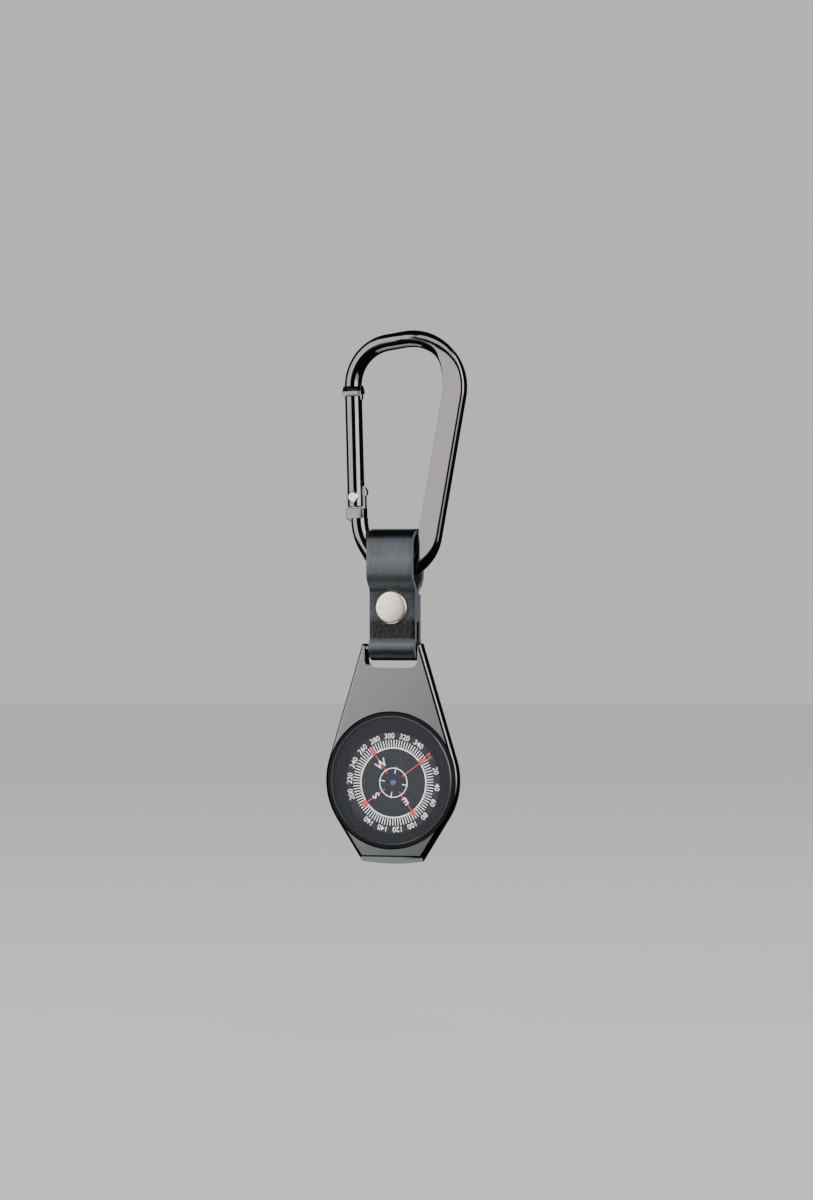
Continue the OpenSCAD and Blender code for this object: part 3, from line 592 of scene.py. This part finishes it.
# Gunmetal plate over fine grit blasting: grey, with a soft mirror. Real grit marks are finer and
# wouldn't show, so they are drawn 0.4 mm apart.
GRIT = MM / 2.6
GRIT_DEPTH = 0.02 * MM
gunmetal, tree, shader = material("gunmetal", "#787b80", 0.16, 1.0)
place = add(tree, "ShaderNodeTexCoord").outputs["Object"]
blast = add(tree, "ShaderNodeTexNoise", Vector=place, Scale=1 / GRIT, Detail=4.0)
bump = add(tree, "ShaderNodeBump", Strength=0.2, Distance=GRIT_DEPTH, Height=blast.outputs["Fac"])
tree.links.new(bump.outputs[0], shader.inputs["Normal"])

# The dial's centre, and the plate's top and foot above and below it
BODY_X, RING_Z, BODY_TOP, BODY_FOOT = -4.97, -105.25, 33.3, -20.3
# Depths of the plate's faces, of the housing's back, of the recess and of the hollow's floor
FRONT, BACK, HOUSING_BACK, RECESS_Y, FLOOR_Y = -1.6, 1.6, 5.2, 0.4, 4.4
# The outline: its ring, half the top and the foot, and the foot's bow
RING_R, TOP_HALF, FOOT_HALF, BOW = 17.25, 7.717, 7.8, 0.6
# Radii of the recess in the plate, of the hollow for the cup and of the housing round it
RECESS_R, CUP_R, HOUSING_R = 16.8, 14.0, 14.8
# Roundings of the plate's front and back edges
FRONT_ROUND, BACK_ROUND = 1.0, 1.2
# The slot between the arms, and the round bar across it, whose ends go a little into the arms
SLOT_HALF, SLOT_LOW, SLOT_CORNER = 6.867, 27.4, 1.9
BAR_UP, BAR_R, BAR_SIDES, BAR_WELD = 32.0, 1.2, 40, 0.3
# The housing starts inside the plate, and its back edge is rounded
HOUSING_FOOT, HOUSING_ROUND, HOUSING_MID = 0.2, 0.4, 0.12
# The slanted cut at the foot: its height, depth, and the rounding where it leaves the face
FACET_H, FACET_DEPTH, FACET_EASE, FACET_EASE_H = 1.7, 1.5, 0.12, 0.35
# How far a cutter goes past what it cuts, how far down the foot's cutter runs, and half its width
OVER, WEDGE_RUN, WEDGE_HALF = 1, 4, 20
# Faces that look straight forwards or back are shaded flat
FACING = 0.9999


def body_outline(inset):
    """The plate's outline about the ring's centre, drawn in by inset, clockwise from the top."""
    r = RING_R - inset
    bow_r = (FOOT_HALF ** 2 + BOW ** 2) / (2 * BOW)
    upper = atan2(BODY_TOP, TOP_HALF) - acos(RING_R / hypot(BODY_TOP, TOP_HALF))
    corner_z = BODY_FOOT + BOW
    lower = atan2(corner_z, FOOT_HALF) + acos(RING_R / hypot(corner_z, FOOT_HALF))
    top = BODY_TOP - inset
    top_x = (r - top * sin(upper)) / cos(upper)
    # The foot's corner is where the lower side meets the bowed bottom edge
    centre = BODY_FOOT + bow_r
    along = Vector((-sin(lower), cos(lower)))
    start = Vector((r * cos(lower), r * sin(lower))) - Vector((0, centre))
    half = start.dot(along)
    root = -half - sqrt(half * half - start.dot(start) + (bow_r - inset) ** 2)
    corner = start + along * root + Vector((0, centre))
    right = [(top_x * k / 6, top) for k in range(6)]
    tangent = Vector((r * cos(upper), r * sin(upper)))
    right += [tuple(Vector((top_x, top)).lerp(tangent, k / 10)) for k in range(10)]
    right += [(r * cos(a), r * sin(a)) for a in
              (upper + (lower - upper) * k / 48 for k in range(48))]
    tangent = Vector((r * cos(lower), r * sin(lower)))
    right += [tuple(tangent.lerp(corner, k / 5)) for k in range(5)]
    spread = atan2(corner.x, centre - corner.y)
    right += [((bow_r - inset) * sin(spread * (1 - k / 8)),
               centre - (bow_r - inset) * cos(spread * (1 - k / 8))) for k in range(9)]
    return right + [(-x, z) for x, z in reversed(right[1:-1])]


def circle(r, steps=288):
    """Points of a circle about the middle."""
    return [(r * cos(2 * pi * k / steps), r * sin(2 * pi * k / steps)) for k in range(steps)]


def on_body(name, outlines, look=gunmetal, closed=False):
    """A crisp piece through outlines about the dial's centre, each with its depth."""
    return crisp(loft(name, [[(BODY_X + x, y, RING_Z + z) for x, z in outline]
                             for outline, y in outlines], look, closed=closed))


levels = [(FRONT_ROUND * (1 - sin(radians(a))), FRONT + FRONT_ROUND * (1 - cos(radians(a))))
          for a in range(0, 91, 10)]
levels += [(BACK_ROUND * (1 - cos(radians(a))), BACK - BACK_ROUND * (1 - sin(radians(a))))
           for a in range(0, 91, 15)]
body = on_body("compass_plate", [(body_outline(inset), y) for inset, y in levels])
housing = on_body("housing", [(circle(HOUSING_R), HOUSING_FOOT),
                              (circle(HOUSING_R), HOUSING_BACK - HOUSING_ROUND),
                              (circle(HOUSING_R - HOUSING_MID), HOUSING_BACK - HOUSING_MID),
                              (circle(HOUSING_R - HOUSING_ROUND), HOUSING_BACK)])
recess = on_body("recess", [(circle(RECESS_R), y) for y in (FRONT - OVER, RECESS_Y)])
hollow = on_body("hollow", [(circle(CUP_R), y) for y in (0, FLOOR_Y)])
slot_outline = [(-SLOT_HALF, BODY_TOP + OVER), (-SLOT_HALF, SLOT_LOW + SLOT_CORNER)]
slot_outline += [(-SLOT_HALF + SLOT_CORNER * (1 - cos(radians(a))),
                  SLOT_LOW + SLOT_CORNER * (1 - sin(radians(a)))) for a in range(10, 91, 10)]
slot_outline += [(-x, z) for x, z in reversed(slot_outline)]
slot = on_body("slot", [(slot_outline, y) for y in (FRONT - OVER, BACK + OVER)])
facet_top = BODY_FOOT + FACET_H
slant = FACET_DEPTH / FACET_H
wedge_profile = [(FRONT - OVER, facet_top + FACET_EASE_H), (FRONT, facet_top + FACET_EASE_H),
                 (FRONT + FACET_EASE, facet_top),
                 (FRONT + FACET_EASE + WEDGE_RUN * slant, facet_top - WEDGE_RUN),
                 (FRONT - OVER, facet_top - WEDGE_RUN)]
wedge = crisp(loft("wedge", [[(BODY_X + x, y, RING_Z + z) for y, z in wedge_profile]
                             for x in (-WEDGE_HALF, WEDGE_HALF)], gunmetal))


def carve(piece, steps):
    """Joins and cuts away solids in order, and keeps the result as the piece's mesh."""
    for how, tool in steps:
        cut = piece.modifiers.new("carve", "BOOLEAN")
        cut.operation = how
        cut.solver = "EXACT"
        cut.object = tool
    shot = piece.evaluated_get(bpy.context.evaluated_depsgraph_get())
    data = bpy.data.meshes.new_from_object(shot)
    piece.modifiers.clear()
    piece.data = data
    for how, tool in steps:
        bpy.data.objects.remove(tool)
    crisp(piece, angle=24)
    for face in piece.data.polygons:
        face.use_smooth = abs(face.normal.y) < FACING


carve(body, [("UNION", housing), ("DIFFERENCE", recess), ("DIFFERENCE", hollow),
             ("DIFFERENCE", slot), ("DIFFERENCE", wedge)])
bar = crisp(loft("body_bar", [[(BODY_X + x, y, RING_Z + BAR_UP + z)
                               for y, z in circle(BAR_R, BAR_SIDES)]
                              for x in (-SLOT_HALF - BAR_WELD, SLOT_HALF + BAR_WELD)], gunmetal),
            angle=40)
for piece in (body, bar):
    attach(piece, "body")
    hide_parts("compass_body")

# Capsule
# A moulded black cup with a matte flange, glued into the body on a foam pad. A rubber ring seals
# the window in it, and a plug shuts the hole through which it was filled.

# Moulded plastic, left matte: black, with only a faint sheen on the flange
cup_black, _, _ = material("capsule_black", "#08090a", 0.5, Specular_IOR_Level=0.3)
# Moulded rubber: black and dull
rubber, _, _ = material("seal_rubber", "#0a0b0c", 0.6)
# Foam tape: pale and dull, hidden under the cup
foam, _, _ = material("pad_foam", "#d8d8d0", 0.9)
# Clear sheet: all but unseen, with a faint bluish haze that stands for the sky it mirrors
clear, _, _ = material("clear_window", "#b9c0cb", 0.05, Alpha=0.045, Specular_IOR_Level=0.0)
# The same sheet at its bevel, made opaque grey: a painted highlight, the smooth line of light that
# the bevel gathers
bevel_highlight_look, _, _ = material("window_bevel", "#4b5156", 0.2)
# Screen paint behind the window's border: as black as the card, so that the two run together
paint, _, _ = material("window_paint", "#0c0e12", 0.4, Specular_IOR_Level=0.2)
dress("capsule_cup", cup_black)
dress("window_seal", rubber)
dress("capsule_pad", foam)
dress("fill_plug", cup_black)

# The window is turned from clear sheet and bevelled at its front edge. Its border is painted
# from behind, so that the seal and the cup's ledge don't show through it.
BEVEL, ROUND_STEPS = 0.25, 180
# Faces that look less straight forwards or back than this are bevel or rim
STRAIGHT = 0.9
# How far the paint stays off the window's rim, how far its back and its front stay off the
# window's back, and how far outside the card it starts
PAINT_INSET, PAINT_GAP, PAINT_FRONT, BORDER_GAP = 0.05, 0.01, 0.04, 0.15
window_low, window_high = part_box("capsule_window")
window_r = (window_high.x - window_low.x) / 2 / MM
window_y, window_back = window_low.y / MM, window_high.y / MM
glass = turned("window_glass", [(0, window_y), (window_r - BEVEL, window_y),
                                (window_r, window_y + BEVEL), (window_r, window_back),
                                (0, window_back)], (BODY_X, RING_Z), clear, ROUND_STEPS)
glass.data.materials.append(bevel_highlight_look)
for face in glass.data.polygons:
    face.material_index = 1 if abs(face.normal.y) < STRAIGHT else 0
glass.visible_shadow = False
card_low, card_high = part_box("card_disc")
card_r = (card_high.x - card_low.x) / 2 / MM
card_x, card_y = (card_low.x + card_high.x) / 2 / MM, card_low.y / MM
card_z = (card_low.z + card_high.z) / 2 / MM


def border_ring(r, depth, up):
    """One edge of the border, this deep inside the window's back and this far up."""
    return [(x, z + up) for x, z in circle(r, ROUND_STEPS)], window_back - depth


border = on_body("window_border", [border_ring(window_r - PAINT_INSET, PAINT_GAP, 0),
                                   border_ring(window_r - PAINT_INSET, PAINT_FRONT, 0),
                                   border_ring(card_r + BORDER_GAP, PAINT_FRONT, card_z - RING_Z),
                                   border_ring(card_r + BORDER_GAP, PAINT_GAP, card_z - RING_Z)],
                 paint, closed=True)
for piece, slot_name in ((glass, "clear_window"), (border, "capsule_black")):
    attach(piece, "body")
    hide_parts("capsule_window")

# Compass card
# A black plastic disc, printed in white and red, that turns on a pin with its jewel, hub and
# magnet. North points to the upper right. The print is thin pieces that lie on the disc.

# Matte black plastic: dark enough for the print to stand out, with hardly a highlight
card_black, _, _ = material("card_black", "#0c0e12", 0.4, Specular_IOR_Level=0.2)
dress("card_disc", card_black)
# Screen inks: flat and bright. A little glow makes up for the light that the window's haze takes.
white, _, _ = material("print_white", "#f8f9fb", 0.6, Emission_Color=linear("#f8f9fb"),
                       Emission_Strength=0.6)
red, _, _ = material("print_red", "#d8404c", 0.55, Emission_Color=linear("#d8404c"),
                     Emission_Strength=0.2)

# Degrees from up to north, clockwise, and the print's thickness
NORTH, PRINT_T = 55.0, 0.03


def printed(piece):
    """Makes a piece of print turn with the card."""
    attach(piece, "card")


def ring_band(name, r, width):
    """Prints a white circle of this width on the card, at radius r."""
    inner, outer, front = r - width / 2, r + width / 2, card_y - PRINT_T
    printed(turned(name, [(inner, card_y), (inner, front), (outer, front), (outer, card_y),
                          (inner, card_y)], (card_x, card_z), white, ROUND_STEPS))


ring_band("card_scale_ring", r=8.45, width=0.24)
ring_band("card_inner_ring", r=3.55, width=0.2)


def marks_tree(name):
    """Geometry Nodes: thin bars set round a circle, pointing at its middle."""
    tree = bpy.data.node_groups.new(name, "GeometryNodeTree")
    face = tree.interface
    face.new_socket("Geometry", in_out="INPUT", socket_type="NodeSocketGeometry")
    for label, kind in (("Count", "NodeSocketInt"), ("Radius", "NodeSocketFloat"),
                        ("Length", "NodeSocketFloat"), ("Width", "NodeSocketFloat"),
                        ("Height", "NodeSocketFloat"), ("Look", "NodeSocketMaterial")):
        face.new_socket(label, in_out="INPUT", socket_type=kind)
    face.new_socket("Geometry", in_out="OUTPUT", socket_type="NodeSocketGeometry")
    given = tree.nodes.new("NodeGroupInput")
    ring = add(tree, "GeometryNodeMeshCircle", Vertices=given.outputs["Count"],
               Radius=given.outputs["Radius"])
    size = add(tree, "ShaderNodeCombineXYZ", X=given.outputs["Length"], Y=given.outputs["Width"],
               Z=given.outputs["Height"])
    bar = add(tree, "GeometryNodeMeshCube", Size=size.outputs[0])
    where = tree.nodes.new("GeometryNodeInputPosition")
    turn = add(tree, "FunctionNodeAlignRotationToVector", axis="X", Vector=where.outputs[0])
    set_on = add(tree, "GeometryNodeInstanceOnPoints", Points=ring.outputs[0],
                 Instance=bar.outputs[0], Rotation=turn.outputs[0])
    real = add(tree, "GeometryNodeRealizeInstances", Geometry=set_on.outputs[0])
    look = add(tree, "GeometryNodeSetMaterial", Geometry=real.outputs[0],
               Material=given.outputs["Look"])
    out = tree.nodes.new("NodeGroupOutput")
    tree.links.new(look.outputs[0], out.inputs[0])
    return tree


marks = marks_tree("marks_round_a_circle")


def marks_on_card(name, turn, lift, look, count, r, length, width, thick=PRINT_T):
    """Prints a circle of marks, with the middle of their thickness lift in front of the card."""
    host = plain_mesh(name + "_host", [(0, 0, 0)], [])
    live = host.modifiers.new("marks", "NODES")
    live.node_group = marks
    values = {"Count": count, "Radius": r * MM, "Length": length * MM, "Width": width * MM,
              "Height": thick * MM, "Look": look}
    for item in marks.interface.items_tree:
        if item.in_out == "INPUT" and item.name in values:
            live[item.identifier] = values[item.name]
    shot = host.evaluated_get(bpy.context.evaluated_depsgraph_get())
    data = bpy.data.meshes.new_from_object(shot)
    host.modifiers.remove(live)
    bpy.data.objects.remove(host)
    data.name = name
    data.transform(Matrix.Translation(Vector((card_x, card_y - lift, card_z)) * MM)
                   @ Matrix.Rotation(radians(turn), 4, "Y") @ Matrix.Rotation(radians(90), 4, "X"))
    piece = bpy.data.objects.new(name, data)
    bpy.context.scene.collection.objects.link(piece)
    printed(piece)


marks_on_card("card_ticks", NORTH, PRINT_T / 2, white, count=90, r=9.5, length=1.95, width=0.18)
marks_on_card("card_inner_ticks", NORTH + 45, PRINT_T / 2, white, count=4, r=3.05, length=1.5,
              width=0.2)
marks_on_card("card_red_blocks", NORTH, PRINT_T * 1.5, red, count=4, r=9.1, length=1.6, width=1.25)
marks_on_card("card_red_lines", NORTH, PRINT_T / 4, red, count=4, r=5.6, length=5.8, width=0.22,
              thick=PRINT_T / 2)

# A plain face's letter size is this many times the height of its capitals
SIZE_TO_HEIGHT = 1.38


def letters(name, text, height, r, turn, look, lift=PRINT_T, bold=0.0):
    """A word on the card at radius r and turn degrees clockwise from up, its top outwards."""
    curve = bpy.data.curves.new(name, "FONT")
    curve.body = text
    curve.size = height * MM * SIZE_TO_HEIGHT
    curve.align_x = "CENTER"
    curve.align_y = "CENTER"
    curve.offset = bold * MM
    curve.resolution_u = 4
    made = bpy.data.objects.new(name, curve)
    bpy.context.scene.collection.objects.link(made)
    shot = made.evaluated_get(bpy.context.evaluated_depsgraph_get())
    data = bpy.data.meshes.new_from_object(shot)
    bpy.data.objects.remove(made)
    low = min(v.co.y for v in data.vertices)
    high = max(v.co.y for v in data.vertices)
    left = min(v.co.x for v in data.vertices)
    right = max(v.co.x for v in data.vertices)
    scale = height * MM / (high - low)
    data.transform(Matrix.Diagonal((scale, scale, 1, 1))
                   @ Matrix.Translation((-(left + right) / 2, -(low + high) / 2, 0)))
    data.transform(Matrix.Translation(Vector((card_x, card_y - lift, card_z)) * MM)
                   @ Matrix.Rotation(radians(turn), 4, "Y") @ Matrix.Translation((0, 0, r * MM))
                   @ Matrix.Rotation(radians(90), 4, "X"))
    data.name = name
    piece = bpy.data.objects.new(name, data)
    bpy.context.scene.collection.objects.link(piece)
    data.materials.clear()
    data.materials.append(look)
    printed(piece)


# North has its letter among the numbers, and south has no number
SOUTH, NUMBER_STEP = 180, 20
for degree in range(NUMBER_STEP, 360, NUMBER_STEP):
    if degree != SOUTH:
        letters("card_number_%03d" % degree, str(degree), height=1.3, r=11.42, turn=NORTH + degree,
                look=white, bold=0.012)
letters("card_north", "N", height=1.4, r=11.35, turn=NORTH, look=red, bold=0.05)
for mark, degree, tall in (("E", 90, 1.8), ("S", SOUTH, 1.8), ("W", 270, 1.95)):
    letters("card_letter_" + mark, mark, height=tall, r=5.5, turn=NORTH + degree, look=white,
            lift=PRINT_T * 2, bold=0.02)

# Polished jewel stone: a small violet point in the card's middle
jewel, _, _ = material("jewel_violet", "#5558a8", 0.2)
# Turned brass: yellow and satin, hidden under the card
brass, _, _ = material("hub_brass", "#b8923f", 0.35, 1.0)
# Magnet steel as ground: dark grey and dull, hidden under the card
magnet, _, _ = material("magnet_steel", "#4a4c50", 0.45, 1.0)
dress("jewel_bearing", jewel)
dress("card_hub", brass)
dress("card_magnet", magnet)
dress("pivot_pin", spring_look)
